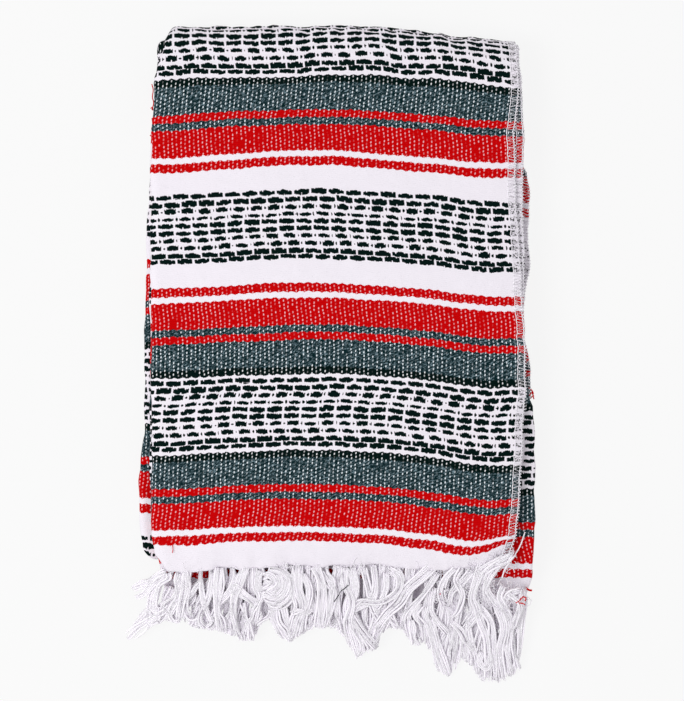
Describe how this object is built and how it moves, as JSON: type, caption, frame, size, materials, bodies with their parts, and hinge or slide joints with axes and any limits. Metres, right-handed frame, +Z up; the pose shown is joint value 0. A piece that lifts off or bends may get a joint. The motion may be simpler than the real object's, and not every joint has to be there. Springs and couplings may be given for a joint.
{
  "type": "folded blanket",
  "caption": "Striped woven blanket folded four by four and laid flat, with bound selvedges at one side and white yarn fringe at its open end.",
  "frame": {"origin": "centre of the bounding box in x and y, on the surface that the folded blanket lies on", "axes": "+X along the width, +Y from the fringe to the folded end, +Z up out of the stack"},
  "size_m": [0.35, 0.5666, 0.0458],
  "materials": {
    "striped_cloth": "matte coarse weave",
    "white_yarn": "matte spun yarn"
  },
  "bodies": {
    "root": {"top_panel": "striped_cloth", "second_layer": "striped_cloth", "inner_layers": "striped_cloth", "fringe_upper": "white_yarn", "fringe_lower": "white_yarn"}
  },
  "joints": []
}
